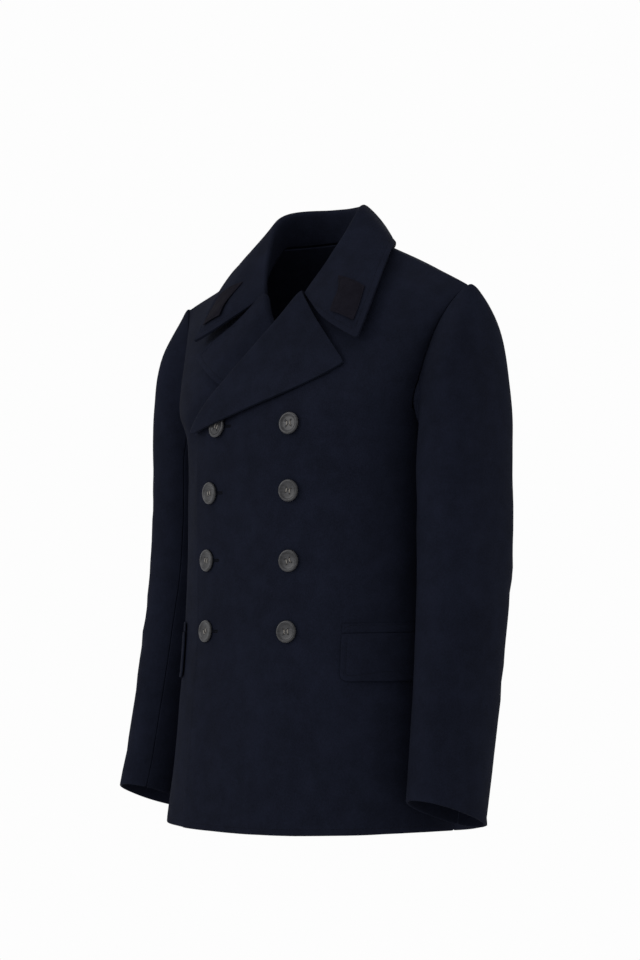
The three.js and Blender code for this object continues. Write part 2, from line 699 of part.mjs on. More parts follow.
function collarPatch(side) {
  const steps = 6;
  const { backInner, backOuter, frontInner, frontOuter } = PATCH_CORNERS;
  const at = (key, u, v) =>
    mix(mix(backInner[key], backOuter[key], v), mix(frontInner[key], frontOuter[key], v), u);
  const grid = range(steps).map((u) =>
    range(steps).map((v) => collarPoint(side * at("place", u, v), at("across", u, v))),
  );
  const normals = gridNormals(grid, side > 0);
  const base = COLLAR_CLOTH / 2 + PATCH_GAP;
  return wall(moved(grid, normals, base + PATCH_CLOTH), moved(grid, normals, base));
}

// Place and turn on the front at a height and a distance back from the pocket's front end.
function pocketTurn(z, distance) {
  const start = placeAt(POCKET_FRONT_X, z);
  const steps = 40;
  let travelled = 0;
  let last = formPoint(FRONT_ROWS, start.place, start.turn);
  for (let i = 1; i <= steps; i++) {
    const turn = mix(start.turn, 1, i / steps);
    const next = formPoint(FRONT_ROWS, start.place, turn);
    const piece = next.distanceTo(last);
    if (travelled + piece >= distance) {
      const share = (distance - travelled) / piece;
      return { place: start.place, turn: mix(mix(start.turn, 1, (i - 1) / steps), turn, share) };
    }
    travelled += piece;
    last = next;
  }
  return { place: start.place, turn: 1 };
}

function pocketGrid(topZ, depth, radius, steps) {
  const drops = radius
    ? [0, 0.3, 0.6, 0.8, 1].map((share) => share * (depth - radius)).concat(
        [0.5, 0.8, 1].map((share) => depth - radius * (1 - share)),
      )
    : [0, depth];
  return drops.map((drop) => {
    const past = Math.max(drop - (depth - radius), 0);
    const inset = cornerInset(radius, past);
    return range(steps).map((share) => {
      const distance = mix(inset, POCKET_WIDTH - inset, share);
      const { place, turn } = pocketTurn(topZ - drop, distance);
      return formPoint(FRONT_ROWS, place, turn);
    });
  });
}

function onFrontPiece(grid, side, base, thick) {
  const placed = side < 0 ? mirrored(grid) : grid;
  const normals = gridNormals(placed, side > 0);
  return wall(moved(placed, normals, base + thick), moved(placed, normals, base));
}

function flap(side) {
  const grid = pocketGrid(POCKET_TOP_Z, FLAP_DEPTH, FLAP_RADIUS, POCKET_STEPS);
  return onFrontPiece(grid, side, POCKET_GAP, FLAP_CLOTH);
}

function welt(side) {
  const grid = pocketGrid(POCKET_TOP_Z + WELT_HEIGHT + SEAM_GAP, WELT_HEIGHT, 0, POCKET_STEPS);
  return onFrontPiece(grid, side, POCKET_GAP, WELT_CLOTH);
}

// Closed geometry as a solid for cutting, and back.
const wasm = await Module();
wasm.setup();

function solidOf(geometry) {
  const bare = geometry.clone();
  bare.deleteAttribute("normal");
  bare.deleteAttribute("uv");
  const merged = mergeVertices(bare);
  return new wasm.Manifold(
    new wasm.Mesh({
      numProp: 3,
      vertProperties: merged.getAttribute("position").array,
      triVerts: new Uint32Array(merged.index.array),
    }),
  );
}

function geometryOf(solid) {
  const mesh = solid.getMesh();
  const geometry = new THREE.BufferGeometry();
  geometry.setAttribute("position", new THREE.BufferAttribute(mesh.vertProperties, 3));
  geometry.setIndex(new THREE.BufferAttribute(mesh.triVerts, 1));
  geometry.computeVertexNormals();
  return geometry;
}

// Four-hole button with a raised rim, its back on z = 0.
function buttonGeometry() {
  const profile = [
    [0, 0],
    [BUTTON_RADIUS - 2, 0],
    [BUTTON_RADIUS, 2],
    [BUTTON_RADIUS - 1.5, BUTTON_THICK],
    [BUTTON_RIM_IN, 3],
    [0, 2.5],
  ].map(([radius, height]) => new THREE.Vector2(radius, height));
  let solid = solidOf(new THREE.LatheGeometry(profile, 18));
  for (const [x, y] of [[1, 1], [1, -1], [-1, 1], [-1, -1]]) {
    const hole = new THREE.CylinderGeometry(BUTTON_HOLE_RADIUS, BUTTON_HOLE_RADIUS, 10, 6);
    hole.translate(x * BUTTON_HOLE_OFFSET, 0, y * BUTTON_HOLE_OFFSET);
    solid = solid.subtract(solidOf(hole));
  }
  return geometryOf(solid).rotateX(Math.PI / 2);
}

const coat = new THREE.Group();

function add(name, geometry, material) {
  const mesh = new THREE.Mesh(geometry, material);
  mesh.name = name;
  coat.add(mesh);
  return mesh;
}

add("left_front", leftFront(), NAVY);
add("right_front", rightFront(), NAVY);
add("back", back(), NAVY);
add("collar", collar(), NAVY);
for (const [name, side] of [["left", 1], ["right", -1]]) {
  const top = sleeve(BACK_SLEEVE_SEAM - 360, FRONT_SLEEVE_SEAM, TOP_SLEEVE_STEPS, side);
  const under = sleeve(FRONT_SLEEVE_SEAM, BACK_SLEEVE_SEAM, UNDER_SLEEVE_STEPS, side);
  add(name + "_top_sleeve", top, NAVY);
  add(name + "_under_sleeve", under, NAVY);
  add(name + "_lapel", lapel(side), NAVY);
  add(name + "_collar_patch", collarPatch(side), NAVY_DARK);
  add(name + "_pocket_flap", flap(side), NAVY);
  add(name + "_pocket_welt", welt(side), NAVY);
}

// Buttons stand on the overlapping front, their axes along its normal.
const button = buttonGeometry();
BUTTON_ROWS.forEach(({ z, left, right }, row) => {
  for (const [name, x] of [["left", left], ["right", -right]]) {
    const { point, normal } = onChest(x, z);
    const mesh = add(name + "_button_" + (row + 1), button.clone(), HORN);
    mesh.quaternion.setFromUnitVectors(vec(0, 0, 1), normal);
    mesh.position.copy(point).addScaledVector(normal, BUTTON_GAP);
  }
});

export default coat;
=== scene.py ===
"""Double-breasted pea coat: melton wool, horn buttons and sewing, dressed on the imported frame.

Metres, +Z up. The front faces -Y and the wearer's left side is +X. Tables are in millimetres.
"""
import functools
import math
import random

import bmesh
import bpy
import numpy as np
from bpy.props import FloatProperty, FloatVectorProperty, PointerProperty
from mathutils import Matrix, Vector
from mathutils.bvhtree import BVHTree


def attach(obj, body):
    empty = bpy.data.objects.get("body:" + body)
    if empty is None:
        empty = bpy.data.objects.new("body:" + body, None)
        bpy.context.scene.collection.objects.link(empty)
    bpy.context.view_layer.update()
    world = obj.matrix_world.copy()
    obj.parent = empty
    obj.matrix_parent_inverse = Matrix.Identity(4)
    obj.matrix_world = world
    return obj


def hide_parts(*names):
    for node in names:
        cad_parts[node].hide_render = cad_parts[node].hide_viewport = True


bl_info = {
    "name": "Pea Coat",
    "version": (1, 0, 0),
    "blender": (4, 5, 0),
    "location": "View3D > Sidebar > Pea Coat",
    "description": "Dresses the frame of a double-breasted pea coat in cloth, horn and thread",
    "category": "Object",
}

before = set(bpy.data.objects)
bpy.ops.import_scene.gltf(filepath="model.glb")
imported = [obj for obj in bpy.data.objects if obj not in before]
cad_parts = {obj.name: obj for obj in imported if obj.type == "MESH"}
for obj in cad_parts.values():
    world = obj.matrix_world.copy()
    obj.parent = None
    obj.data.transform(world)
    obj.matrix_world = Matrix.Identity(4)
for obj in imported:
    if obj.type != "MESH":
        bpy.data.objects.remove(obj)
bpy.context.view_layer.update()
BODY = "root"
MM = 0.001
SEED = 7

# Points nearer than this, in metres, are one point.
SAME_POINT = 1e-5

# Each piece's cut as it shows, as width, length and area in metres and square metres, and what it
# is sewn to or lies on
PIECES = {
    "left_front": {"cut": (0.42, 0.81), "area": 0.254, "on": ["back", "collar"]},
    "right_front": {"cut": (0.42, 0.81), "area": 0.252, "on": ["back", "collar"]},
    "back": {"cut": (0.62, 0.78), "area": 0.417, "on": ["left_front", "right_front"]},
    "left_top_sleeve": {"cut": (0.28, 0.68), "area": 0.146, "on": ["left_front", "back"]},
    "right_top_sleeve": {"cut": (0.28, 0.68), "area": 0.146, "on": ["right_front", "back"]},
    "left_under_sleeve": {"cut": (0.14, 0.56), "area": 0.059, "on": ["left_top_sleeve"]},
    "right_under_sleeve": {"cut": (0.14, 0.56), "area": 0.059, "on": ["right_top_sleeve"]},
    "collar": {"cut": (0.60, 0.16), "area": 0.060, "on": ["back", "left_front", "right_front"]},
    "left_lapel": {"cut": (0.25, 0.17), "area": 0.022, "on": ["left_front"]},
    "right_lapel": {"cut": (0.25, 0.17), "area": 0.020, "on": ["right_front"]},
    "left_pocket_flap": {"cut": (0.136, 0.059), "area": 0.008, "on": ["left_front"]},
    "right_pocket_flap": {"cut": (0.136, 0.059), "area": 0.008, "on": ["right_front"]},
    "left_pocket_welt": {"cut": (0.136, 0.012), "area": 0.0016, "on": ["left_front"]},
    "right_pocket_welt": {"cut": (0.136, 0.012), "area": 0.0016, "on": ["right_front"]},
    "left_collar_patch": {"cut": (0.055, 0.042), "area": 0.0021, "on": ["collar"]},
    "right_collar_patch": {"cut": (0.055, 0.042), "area": 0.0019, "on": ["collar"]},
}

# Soft creases, listed. Each runs through a few points near the cloth, with the distance to its
# own raised shoulders as width. depth is how far it sinks in; a negative one stands out.
TORSO_CREASES = [
    {"path": [(-40, -150, -318), (-10, -150, -352), (28, -150, -372)], "width": 20, "depth": 1.5},
    {"path": [(98, -140, -262), (112, -140, -330), (118, -140, -402)], "width": 26, "depth": 1.7},
    {"path": [(-62, -150, -352), (-30, -150, -378), (0, -150, -384)], "width": 15, "depth": 1.1},
    {"path": [(-66, -150, -436), (-20, -150, -446), (40, -150, -428)], "width": 22, "depth": 1.6},
    {"path": [(10, -150, -452), (48, -150, -470), (96, -150, -462)], "width": 17, "depth": -1.0},
    {"path": [(150, -100, -160), (142, -110, -222), (158, -100, -290)], "width": 24, "depth": 2.0},
    {"path": [(104, -130, -195), (128, -120, -180), (158, -90, -150)], "width": 22, "depth": 1.2},
    {"path": [(20, -160, -560), (30, -165, -620), (18, -170, -690)], "width": 30, "depth": -1.5},
    {"path": [(96, -150, -566), (104, -155, -640), (92, -160, -712)], "width": 28, "depth": 1.8},
    {"path": [(-48, -160, -548), (-58, -165, -628), (-44, -170, -712)], "width": 26, "depth": 1.5},
    {"path": [(-150, -100, -250), (-142, -120, -330), (-152, -110, -430)], "width": 26, "depth": 1.8},
    {"path": [(-140, -110, -560), (-150, -110, -640), (-138, -120, -716)], "width": 28, "depth": 1.7},
    {"path": [(-176, 60, -320), (-140, 120, -345), (-80, 145, -330)], "width": 22, "depth": 1.9},
    {"path": [(170, 70, -300), (120, 130, -338), (60, 145, -352)], "width": 24, "depth": 1.7},
    {"path": [(-60, 145, -392), (10, 145, -408), (90, 140, -398)], "width": 20, "depth": 1.4},
    {"path": [(30, 150, -470), (44, 155, -580), (30, 165, -700)], "width": 30, "depth": -1.7},
    {"path": [(-70, 150, -480), (-84, 155, -590), (-72, 160, -712)], "width": 30, "depth": 1.9},
    {"path": [(118, 140, -520), (130, 140, -610), (120, 150, -716)], "width": 28, "depth": 1.6},
    {"path": [(-140, 110, -150), (-152, 100, -215), (-146, 105, -280)], "width": 22, "depth": 1.8},
    {"path": [(142, 110, -140), (150, 105, -210), (140, 110, -268)], "width": 24, "depth": 1.7},
    {"path": [(-60, 110, -60), (0, 120, -84), (58, 112, -64)], "width": 18, "depth": 0.9},
]
# The same on the left sleeve and, with other lengths and depths, on the right one.
SLEEVE_CREASES = [
    {"path": [(268, -62, -262), (284, -34, -292), (292, 4, -306)], "width": 15, "depth": 2.0},
    {"path": [(262, -72, -300), (282, -46, -330), (290, -8, -348)], "width": 13, "depth": 1.3},
    {"path": [(286, -30, -338), (288, 0, -372), (284, 34, -388)], "width": 18, "depth": 1.9},
    {"path": [(276, -74, -398), (286, -44, -424), (288, -6, -430)], "width": 14, "depth": 1.5},
    {"path": [(258, -80, -436), (280, -62, -462), (287, -26, -470)], "width": 16, "depth": 2.3},
    {"path": [(240, -86, -470), (268, -82, -500), (286, -52, -508)], "width": 14, "depth": 1.7},
    {"path": [(286, -10, -452), (278, 30, -440), (250, 50, -436)], "width": 18, "depth": 1.9},
    {"path": [(270, -96, -540), (288, -64, -574), (288, -26, -582)], "width": 17, "depth": 1.8},
    {"path": [(284, -54, -600), (290, -36, -650), (288, -46, -694)], "width": 20, "depth": -1.2},
    {"path": [(250, -100, -610), (276, -94, -640), (290, -66, -648)], "width": 15, "depth": 1.2},
    {"path": [(240, 60, -330), (262, 60, -372), (276, 44, -400)], "width": 18, "depth": 1.6},
    {"path": [(222, 50, -520), (250, 40, -545), (280, 10, -540)], "width": 17, "depth": 1.7},
    {"path": [(206, -70, -300), (200, -40, -352), (196, 0, -380)], "width": 18, "depth": 1.4},
]
RIGHT_SLEEVE_SHIFT = (0, 5, -12)
RIGHT_SLEEVE_DEPTHS = [0.8, 1.2, 0.9, 1.1, 0.7, 1.3, 0.8, 1.0, 1.2, 0.9, 1.1, 0.8, 1.0]

# The torso as an ellipse and the sleeves' centre lines, for the direction out of the cloth
TORSO_HALF_WIDTH = 200
TORSO_HALF_DEPTH = 155
SHOULDER_RISE_FROM = -150
SHOULDER_RISE = 0.008
SLEEVE_CENTRES = [
    {"z": -722, "x": 252, "y": -58},
    {"z": -627, "x": 247, "y": -38},
    {"z": -504, "x": 241, "y": -17},
    {"z": -415, "x": 237, "y": -2},
    {"z": -305, "x": 233, "y": 2},
    {"z": -213, "x": 226, "y": 1},
    {"z": -60, "x": 222, "y": 0},
]

# A crease's line is laid on the cloth at this many points. It fades out towards its ends, along
# this power of a half wave, and never wholly within this share of its length.
CREASE_POINTS = 14
CREASE_FADE = 0.7
CREASE_END = 0.04

# Long low unevenness of the whole coat: wavelength and height of each layer of waves
UNEVENNESS = [
    {"wavelength": 190, "height": 0.9, "waves": 9},
    {"wavelength": 85, "height": 0.38, "waves": 12},
    {"wavelength": 42, "height": 0.14, "waves": 14},
]

# Topstitching of each kind of piece: how far in from its edge it runs, and how deep it pulls
# the cloth in
TOPSTITCHING = {
    "collar": {"inset": 7.5, "groove": 0.5},
    "lapel": {"inset": 7.5, "groove": 0.5},
    "flap": {"inset": 7, "groove": 0.5},
    "welt": {"inset": 2.2, "groove": 0.25},
    "patch": {"inset": 2.2, "groove": 0.3},
    "front": {"inset": 7.5, "groove": 0.0},
}
# Half the groove's width, how far apart the points of a line are, how much of its inset a line
# keeps from every edge, and how often its points are evened out
GROOVE_WIDTH = 1.8
BORDER_STEP = 3 * MM
KEPT_INSET = 0.9
EVENING_ROUNDS = 6
# Where a border is topstitched: heights on the pockets and fronts, the oval of the collar's neck
# seam, and the lapel's roll line with what lies near it left plain
FLAP_SEWN_BELOW = -492
WELT_SEWN_ABOVE = -484
HEM_SEWN_BELOW = -722
FRONT_EDGE_SEWN = {"beyond": -98, "below": -245}
NECK_OVAL = {"half_width": 80, "half_depth": 65, "ahead": 10, "share": 1.25}
ROLL_LINE = [(-101, -150, -237), (38, -78, -63)]
ROLL_CLEAR = 16
UNDER_COLLAR = {"half_width": 70, "above": -100}

# Buttons, in the order of their names from the top down: how far each was turned when sewn on,
# the column that fastens through worked buttonholes, and where those start and how far they go
BUTTON_TURNS = {"left": [8, -14, 21, 3], "right": [-20, 12, -6, 27]}
BUTTONHOLE_SIDE = "right"
BUTTONHOLE_START = 14.2
BUTTONHOLE_REACH = 8.5


def linear(code):
    """Linear red, green, blue and alpha of an sRGB colour such as "#1a1b22"."""
    channels = [int(code[i:i + 2], 16) / 255 for i in (1, 3, 5)]
    return [c / 12.92 if c <= 0.04045 else ((c + 0.055) / 1.055) ** 2.4 for c in channels] + [1.0]


def colour(name, about, code):
    return FloatVectorProperty(
        name=name, description=about, subtype="COLOR", size=4, min=0.0, max=1.0, default=linear(code)
    )


def length(name, about, default):
    return FloatProperty(name=name, description=about, default=default, min=0.0, unit="LENGTH")


class PeaCoatSettings(bpy.types.PropertyGroup):
    """Sizes and colours of the coat's finish"""

    melton_dark: colour("Melton, dark", "Deepest tone of the wool", "#0c0e16")
    melton_light: colour("Melton, light", "Lightest tone of the wool's nap", "#151824")
    patch_dark: colour("Patch, dark", "Deepest tone of the collar patches", "#0b0a10")
    patch_light: colour("Patch, light", "Lightest tone of the collar patches", "#15141b")
    horn_dark: colour("Horn, dark", "Darker streaks of the buttons", "#161618")
    horn_light: colour("Horn, light", "Lighter streaks of the buttons", "#2a2a2d")
    thread_colour: colour("Thread", "Thread of the seams and buttonholes", "#07080c")
    button_thread_colour: colour("Button thread", "Thread that holds the buttons", "#6a6763")
    grain_size: length("Grain", "Size of the wool's fine felted grain", 0.0017)
    nap_size: length("Nap", "Size of the soft patches where the nap lies differently", 0.024)
    stitch_length: length("Stitch", "Length of a stitch", 0.0027)
    stitch_gap: length("Stitch gap", "Gap between two stitches", 0.0009)
    stitch_width: length("Thread width", "Width of the sewing thread", 0.0005)
    edge_round: length("Edge rounding", "How far the edge of a collar, lapel or flap is rounded", 0.001)
    seam_round: length("Seam rounding", "How far a panel's edge is rounded beside its seams", 0.0006)
    crease_share: FloatProperty(
        name="Creases", description="Depth of the soft creases, 1 as tabled",
        default=1.0, min=0.0, max=2.0, subtype="FACTOR",
    )


def add_node(tree, kind, inputs=None, **settings):
    """Adds a node with its settings, and gives its inputs values or links from other outputs."""
    node = tree.nodes.new(kind)
    for key, value in settings.items():
        setattr(node, key, value)
    for key, value in (inputs or {}).items():
        if isinstance(value, bpy.types.NodeSocket):
            tree.links.new(value, node.inputs[key])
        else:
            node.inputs[key].default_value = value
    return node


def new_material(name):
    """An empty node material and its tree."""
    material = bpy.data.materials.new(name)
    material.use_nodes = True
    material.node_tree.nodes.clear()
    return material, material.node_tree


def noise_at(tree, place, size, detail, roughness=0.55):
    """Noise whose largest features are about size metres."""
    return add_node(
        tree, "ShaderNodeTexNoise",
        {"Vector": place, "Scale": 1 / size, "Detail": detail, "Roughness": roughness},
    ).outputs["Fac"]


def stretched(tree, value, low, high):
    """A 0 to 1 value from where another lies between low and high."""
    inputs = {"Value": value, "From Min": low, "From Max": high}
    return add_node(tree, "ShaderNodeMapRange", inputs, interpolation_type="SMOOTHSTEP").outputs[0]


def blended(tree, share, first, second):
    """Mix of two colours."""
    return add_node(
        tree, "ShaderNodeMix", {0: share, 6: first, 7: second}, data_type="RGBA"
    ).outputs[2]


def bumped(tree, height, distance, strength, before=None):
    """A normal bumped by a height, over another bump if there is one."""
    inputs = {"Height": height, "Distance": distance, "Strength": strength}
    if before is not None:
        inputs["Normal"] = before
    return add_node(tree, "ShaderNodeBump", inputs).outputs[0]


def milled_wool(name, dark, light, grain, nap, roughness, sheen):
    """Melton: wool woven, milled and cropped until no weave shows. It is matt, with a fine felted
    grain, soft patches where the nap lies another way, and a bloom of fibres along its edges."""
    material, tree = new_material(name)
    place = add_node(tree, "ShaderNodeTexCoord").outputs["Object"]
    fine = noise_at(tree, place, grain, 3, 0.7)
    patches = noise_at(tree, place, nap, 4, 0.6)
    wide = noise_at(tree, place, nap * 5, 2)
    felt = noise_at(tree, place, grain * 3, 4, 0.65)
    grained = blended(tree, stretched(tree, fine, 0.3, 0.72), dark, light)
    napped = blended(tree, stretched(tree, patches, 0.3, 0.75), dark, light)
    cloudy = blended(tree, stretched(tree, wide, 0.35, 0.7), dark, light)
    base = blended(tree, 0.42, grained, napped)
    base = blended(tree, 0.18, base, cloudy)
    normal = bumped(tree, patches, nap * 0.02, 0.35)
    normal = bumped(tree, felt, grain * 0.25, 0.5, normal)
    normal = bumped(tree, fine, grain * 0.22, 0.6, normal)
    shader = add_node(
        tree, "ShaderNodeBsdfPrincipled",
        {
            "Base Color": base, "Roughness": roughness, "Normal": normal, "Specular IOR Level": 0.03,
            "Sheen Weight": sheen, "Sheen Roughness": 0.45, "Sheen Tint": light,
        },
    )
    add_node(tree, "ShaderNodeOutputMaterial", {"Surface": shader.outputs[0]})
    return material


def polished_horn(name, dark, light):
    """Horn, sawn, turned and polished: faint pale streaks under a soft gloss."""
    material, tree = new_material(name)
    place = add_node(tree, "ShaderNodeTexCoord").outputs["Object"]
    streaked = add_node(tree, "ShaderNodeMapping", {"Vector": place, "Scale": (60, 60, 240)})
    streaks = add_node(
        tree, "ShaderNodeTexNoise",
        {"Vector": streaked.outputs[0], "Scale": 1.0, "Detail": 5, "Distortion": 1.4},
    ).outputs["Fac"]
    scratches = noise_at(tree, place, 0.0006, 2)
    base = blended(tree, stretched(tree, streaks, 0.3, 0.7), dark, light)
    shader = add_node(
        tree, "ShaderNodeBsdfPrincipled",
        {
            "Base Color": base, "Roughness": 0.34, "Specular IOR Level": 0.3,
            "Normal": bumped(tree, scratches, 0.00005, 0.3),
        },
    )
    add_node(tree, "ShaderNodeOutputMaterial", {"Surface": shader.outputs[0]})
    return material


def sewing_thread(name, shade):
    """Spun polyester thread: a little silkier than the wool, with its twist too fine to show."""
    material, tree = new_material(name)
    place = add_node(tree, "ShaderNodeTexCoord").outputs["Object"]
    twist = noise_at(tree, place, 0.0005, 2)
    lighter = [min(1.0, c * 1.9) for c in shade[:3]] + [1.0]
    base = blended(tree, stretched(tree, twist, 0.3, 0.7), list(shade), lighter)
    shader = add_node(
        tree, "ShaderNodeBsdfPrincipled",
        {
            "Base Color": base, "Roughness": 0.85, "Specular IOR Level": 0.04,
            "Normal": bumped(tree, twist, 0.0001, 0.5),
        },
    )
    add_node(tree, "ShaderNodeOutputMaterial", {"Surface": shader.outputs[0]})
    return material


def material(kind):
    """The finish of that name, made once."""
    found = bpy.data.materials.get(kind)
    if found:
        return found
    coat = bpy.context.scene.pea_coat
    if kind == "melton wool":
        return milled_wool(
            kind, coat.melton_dark, coat.melton_light, coat.grain_size, coat.nap_size, 0.95, 0.012
        )
    if kind == "brushed patch wool":
        return milled_wool(
            kind, coat.patch_dark, coat.patch_light, coat.grain_size * 0.8, coat.nap_size * 0.5, 0.92, 0.008
        )
    if kind == "polished horn":
        return polished_horn(kind, coat.horn_dark, coat.horn_light)
    if kind == "button thread":
        return sewing_thread(kind, coat.button_thread_colour)
    return sewing_thread(kind, coat.thread_colour)


# How thick each kind of wall is, which tells its rim from its two faces, which way a face of its
# outer side looks, and how many times its mesh is divided
WALLS = {
    "front": {"thick": 3.0, "looks": (0, -1, 0), "levels": 2},
    "back": {"thick": 3.0, "looks": (0, 1, 0), "levels": 2},
    "sleeve": {"thick": 3.0, "looks": (1, 0, 0), "levels": 2},
    "lapel": {"thick": 3.6, "looks": (0, -1, 0), "levels": 3},
    "collar": {"thick": 4.0, "looks": (0, 0.6, 0.8), "levels": 3},
    "flap": {"thick": 3.0, "looks": (0.6, -0.8, 0), "levels": 3},
    "welt": {"thick": 1.6, "looks": (0.6, -0.8, 0), "levels": 3},
    "patch": {"thick": 1.2, "looks": (0.75, -0.45, 0.48), "levels": 3},
}
THICKNESS_SLIP = 0.03
# Neighbouring triangles that turn by less than this are joined, and a wall's rim that turns by
# more than this has a corner
JOIN_ANGLE = math.radians(80)
CORNER_ANGLE = math.radians(40)


def kind_of(name):
    """The kind of piece that a name ends in, such as front or sleeve."""
    return name.rsplit("_", 1)[-1]


def is_panel(name):
    return kind_of(name) in ("front", "back", "sleeve")


def side_of(name):
    return -1 if name.startswith("right") else 1


def merged_copy(node):
    """A CAD node's mesh with its loose triangles merged and joined to quads."""
    bm = bmesh.new()
    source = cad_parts[node]
    bm.from_mesh(source.data)
    bm.transform(source.matrix_world)
    bmesh.ops.remove_doubles(bm, verts=bm.verts, dist=SAME_POINT)
    bmesh.ops.join_triangles(
        bm, faces=bm.faces, angle_face_threshold=JOIN_ANGLE, angle_shape_threshold=math.pi
    )
    bm.normal_update()
    bm.verts.index_update()
    return bm


def rim_of(bm, thick):
    """The edges across a wall's rim, and the rim's faces. An edge across is as long as the wall
    is thick."""
    posts = {e for e in bm.edges if abs(e.calc_length() / MM - thick) < THICKNESS_SLIP}
    faces = {f for f in bm.faces if any(e in posts for e in f.edges)}
    return posts, faces


def outer_sheet(bm, rim_faces, looks):
    """Faces of a wall's outer side, found by walking from the one that looks most that way."""
    looks = Vector(looks)
    seed = max((f for f in bm.faces if f not in rim_faces), key=lambda f: f.normal.dot(looks))
    sheet, edge_of_walk = {seed}, [seed]
    while edge_of_walk:
        face = edge_of_walk.pop()
        for edge in face.edges:
            for other in edge.link_faces:
                if other not in sheet and other not in rim_faces:
                    sheet.add(other)
                    edge_of_walk.append(other)
    return sheet


def border_loop(sheet):
    """Points round a sheet's border in order, each with the direction into the sheet and the
    sheet's normal there."""
    inward, normal, beside, places = {}, {}, {}, {}
    for face in sheet:
        for edge in face.edges:
            if sum(other in sheet for other in edge.link_faces) == 2:
                continue
            into = face.normal.cross(edge.verts[1].co - edge.verts[0].co).normalized()
            if into.dot(face.calc_center_median() - edge.verts[0].co) < 0:
                into.negate()
            ends = [(vert.index, vert.co.copy()) for vert in edge.verts]
            for (vert, place), (other, _) in (ends, ends[::-1]):
                inward[vert] = inward.get(vert, Vector()) + into
                normal[vert] = normal.get(vert, Vector()) + face.normal
                beside.setdefault(vert, []).append(other)
                places[vert] = place
    start = next(iter(beside))
    order, before, here = [start], None, start
    for _ in beside:
        after = next(v for v in beside[here] if v != before)
        if after == start:
            break
        order.append(after)
        before, here = here, after
    return [(places[v], inward[v].normalized(), normal[v].normalized()) for v in order]


def distance_to_path(points, path):
    """Each point's distance to a line of points, and how far along it that is, from 0 to 1."""
    path = np.asarray(path, float)
    nearest = np.full(len(points), np.inf)
    along = np.zeros(len(points))
    travelled = 0.0
    for start, end in zip(path[:-1], path[1:]):
        step = end - start
        size = np.linalg.norm(step)
        share = np.clip((points - start) @ step / max(size * size, 1e-9), 0, 1)
        gap = np.linalg.norm(points - start - share[:, None] * step, axis=1)
        closer = gap < nearest
        nearest[closer] = gap[closer]
        along[closer] = travelled + share[closer] * size
        travelled += size
    return nearest, along / max(travelled, 1e-9)


def through(points, count):
    """A smooth line through three points."""
    a, b, c = (np.array(p, float) for p in points)
    bend = 2 * b - (a + c) / 2
    shares = np.linspace(0, 1, count)[:, None]
    return (1 - shares) ** 2 * a + 2 * shares * (1 - shares) * bend + shares ** 2 * c


def surface_of(nodes):
    """One tree of several CAD nodes' faces, for finding the nearest point on them."""
    bm = bmesh.new()
    for node in nodes:
        bm.from_mesh(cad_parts[node].data)
    tree = BVHTree.FromBMesh(bm)
    bm.free()
    return tree


class Drape:
    """The coat's soft creases and unevenness, as a shift of every point near the cloth."""

    def __init__(self, share):
        self.share = share
        self.creases = {"torso": [], "left": [], "right": []}
        torso = surface_of(["left_front", "right_front", "back"])
        for row in TORSO_CREASES:
            self.creases["torso"].append(self.laid(torso, row["path"], row["width"], row["depth"]))
        for name, side in (("left", 1), ("right", -1)):
            sleeve = surface_of([name + "_top_sleeve", name + "_under_sleeve"])
            shift = (0, 0, 0) if side > 0 else RIGHT_SLEEVE_SHIFT
            for row, other in zip(SLEEVE_CREASES, RIGHT_SLEEVE_DEPTHS):
                path = [(side * x, y + shift[1], z + shift[2]) for x, y, z in row["path"]]
                depth = row["depth"] * (1 if side > 0 else other)
                self.creases[name].append(self.laid(sleeve, path, row["width"], depth))
        self.waves = []
        rng = random.Random(SEED)
        for layer in UNEVENNESS:
            for _ in range(layer["waves"]):
                pitch = layer["wavelength"] * rng.uniform(0.75, 1.3)
                run = Vector([rng.gauss(0, 1) for _ in range(3)]).normalized() * math.tau / pitch
                push = Vector([rng.gauss(0, 1) for _ in range(3)]).normalized()
                height = layer["height"] / math.sqrt(layer["waves"])
                self.waves.append((np.array(run), np.array(push) * height, rng.uniform(0, math.tau)))

    def laid(self, surface, path, width, depth):
        """A crease whose path lies on a surface, in millimetres."""
        line = [surface.find_nearest(Vector(p) * MM)[0] / MM for p in through(path, CREASE_POINTS)]
        return np.array(line), width, depth

    def outward(self, points, region):
        """Unit directions out of the cloth."""
        x, y, z = points.T
        if region == "torso":
            height = (z - SHOULDER_RISE_FROM) / -SHOULDER_RISE_FROM
            rise = np.clip(height, 0, 1.3) * SHOULDER_RISE
            out = np.stack([x / TORSO_HALF_WIDTH ** 2, y / TORSO_HALF_DEPTH ** 2, rise], axis=1)
        else:
            side = 1 if region == "left" else -1
            heights = [row["z"] for row in SLEEVE_CENTRES]
            middle_x = np.interp(z, heights, [side * row["x"] for row in SLEEVE_CENTRES])
            middle_y = np.interp(z, heights, [row["y"] for row in SLEEVE_CENTRES])
            out = np.stack([x - middle_x, y - middle_y, np.zeros(len(z))], axis=1)
        return out / np.maximum(np.linalg.norm(out, axis=1), 1e-9)[:, None]

    def moved(self, points, region):
        """Points in millimetres, shifted."""
        shift = np.zeros(points.shape)
        for run, push, phase in self.waves:
            shift += np.sin(points @ run + phase)[:, None] * push
        out = self.outward(points, region)
        for line, width, depth in self.creases[region]:
            near, along = distance_to_path(points, line)
            q = near / width
            fade = np.sin(math.pi * np.clip(along, CREASE_END, 1 - CREASE_END)) ** CREASE_FADE
            sunk = (1 - q * q) * np.exp(-q * q) * fade
            shift -= (depth * sunk)[:, None] * out
        return points + self.share * shift


def region_of(name):
    if "sleeve" in name:
        return "left" if name.startswith("left") else "right"
    return "torso"


def points_of(mesh):
    points = np.empty(len(mesh.vertices) * 3)
    mesh.vertices.foreach_get("co", points)
    return points.reshape(-1, 3) / MM


